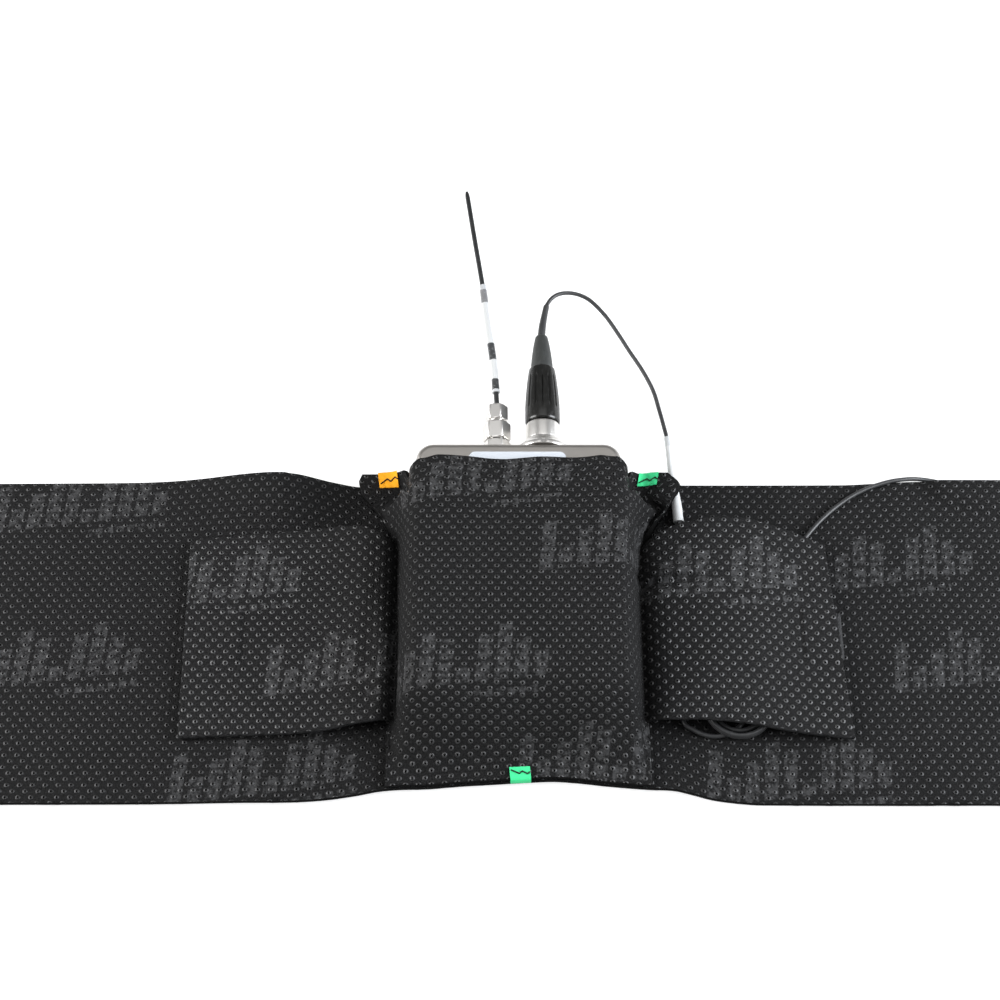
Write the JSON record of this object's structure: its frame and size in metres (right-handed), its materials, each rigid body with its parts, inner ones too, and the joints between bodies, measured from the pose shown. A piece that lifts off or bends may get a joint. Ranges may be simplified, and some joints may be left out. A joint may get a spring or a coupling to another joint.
{
  "type": "wireless instrument transmitter",
  "caption": "Body-pack radio transmitter with screw-on whip antenna and latching lead plug, carried in the pouch of a dimpled fabric strap with flap-covered cord pockets.",
  "frame": {"origin": "the strap's back face, at the middle of the strap's length, near half the pouch's height; the transmitter's centreline lies at x = -0.9 mm", "axes": "+X along the strap, +Y towards the antenna's tip, +Z out of the strap's front; the back face lies on z = 0"},
  "size_m": [0.638, 0.217, 0.0228],
  "materials": {
    "black_fabric": "black foam-backed fabric with a lattice of raised dots, cut edges slightly fuzzy",
    "hook_fabric": "black hook-and-loop tape",
    "orange_tag": "bright orange woven tag with dark zigzag stitching",
    "green_tag": "bright green woven tag with dark zigzag stitching",
    "nickel": "warm satin nickel-plated metal, fine bead-blasted grain",
    "connector_metal": "nickel-plated turned metal, semi-bright",
    "label_white": "white laminated paper label",
    "black_plastic": "black moulded plastic, semi-gloss",
    "boot_rubber": "dark grey matte rubber",
    "whip_rubber": "black satin rubber jacket",
    "sleeve_white": "white and grey heat-shrunk marker tube with a clear overlay",
    "cord_jacket": "dark grey satin cable jacket",
    "circuit_board": "green solder-masked circuit board",
    "cell_wrap": "printed shrink film over steel, left plain",
    "brass_contact": "plated brass spring contact",
    "led_lens": "translucent green lens"
  },
  "bodies": {
    "strap_and_pack": {"antenna_panel_nut": "connector_metal", "antenna_socket": "connector_metal", "audio_socket": "connector_metal", "battery_divider": "black_plastic", "battery_left": "cell_wrap", "battery_right": "cell_wrap", "belt_band": "black_fabric", "belt_hook_tab": "hook_fabric", "belt_loop_pad": "hook_fabric", "case_body": "nickel", "cord_jack_lead": "cord_jacket", "cord_lead_in": "cord_jacket", "cord_lead_out": "cord_jacket", "cord_marker_sleeve": "sleeve_white", "cord_pocket_coil": "cord_jacket", "cord_pocket_entry": "cord_jacket", "cord_tail_coil": "cord_jacket", "cover_screw_1": "connector_metal", "cover_screw_2": "connector_metal", "cover_screw_3": "connector_metal", "door_hinge_pin": "connector_metal", "face_label": "label_white", "gain_potentiometer": "black_plastic", "green_size_tag": "green_tag", "jack_barrel": "connector_metal", "jack_boot": "boot_rubber", "jack_shaft": "connector_metal", "jack_tip": "connector_metal", "left_pocket_gusset": "black_fabric", "lower_edge_tag": "green_tag", "main_board": "circuit_board", "orange_size_tag": "orange_tag", "plug_barrel": "connector_metal", "plug_boot": "boot_rubber", "plug_insert": "black_plastic", "plug_sleeve": "black_plastic", "pouch_front": "black_fabric", "power_led_lens": "led_lens", "radio_shield_can": "connector_metal", "rear_cover": "nickel", "right_pocket_gusset": "black_fabric", "socket_insulator": "black_plastic", "socket_ring_nut": "connector_metal", "strain_relief_tube": "cord_jacket", "terminal_board": "circuit_board", "terminal_spring": "brass_contact"},
    "left_flap": {"left_flap": "black_fabric", "left_flap_hook_patch": "hook_fabric"},
    "right_flap": {"right_flap": "black_fabric", "right_flap_hook_patch": "hook_fabric"},
    "battery_door": {"battery_door": "nickel", "door_contact_bridge": "brass_contact", "door_contact_spring": "brass_contact"},
    "antenna": {"antenna_ferrule": "connector_metal", "antenna_whip": "whip_rubber", "antenna_label_sleeve": "sleeve_white"},
    "coupling_nut": {"antenna_coupling_nut": "connector_metal"},
    "power_switch": {"power_switch_knob": "black_plastic"},
    "gain_knob": {"gain_knob": "black_plastic"},
    "plug_latch": {"plug_latch_button": "connector_metal"}
  },
  "joints": [
    {"name": "left_flap_hinge", "type": "hinge", "parent": "strap_and_pack", "child": "left_flap", "pos_m": [-0.0475, 0, 0.0085], "axis": [0, 1, 0], "range_deg": [0, 115]},
    {"name": "right_flap_hinge", "type": "hinge", "parent": "strap_and_pack", "child": "right_flap", "pos_m": [0.0475, 0, 0.0085], "axis": [0, -1, 0], "range_deg": [0, 115]},
    {"name": "battery_door_hinge", "type": "hinge", "parent": "strap_and_pack", "child": "battery_door", "pos_m": [0, -0.01395, 0.0043], "axis": [1, 0, 0], "range_deg": [0, 90]},
    {"name": "antenna_lift", "type": "slide", "parent": "strap_and_pack", "child": "antenna", "axis": [0, 1, 0], "range_m": [0, 0.00247]},
    {"name": "coupling_nut_spin", "type": "hinge", "parent": "antenna", "child": "coupling_nut", "pos_m": [-0.0078, 0.0666, 0.0115], "axis": [0, 1, 0], "range_deg": [0, 1262]},
    {"name": "power_switch_slide", "type": "slide", "parent": "strap_and_pack", "child": "power_switch", "axis": [1, 0, 0], "range_m": [0, 0.0046]},
    {"name": "gain_knob_turn", "type": "hinge", "parent": "strap_and_pack", "child": "gain_knob", "pos_m": [0.023, 0.059, 0.0115], "axis": [0, 1, 0], "range_deg": [0, 270]},
    {"name": "plug_latch_press", "type": "slide", "parent": "strap_and_pack", "child": "plug_latch", "axis": [0, 0, 1], "range_m": [0, 0.0006], "stiffness_N_per_m": 800}
  ],
  "couplings": [
    {"joint": "coupling_nut_spin", "follows": "antenna_lift", "rad_per_m": 8904.7}
  ]
}
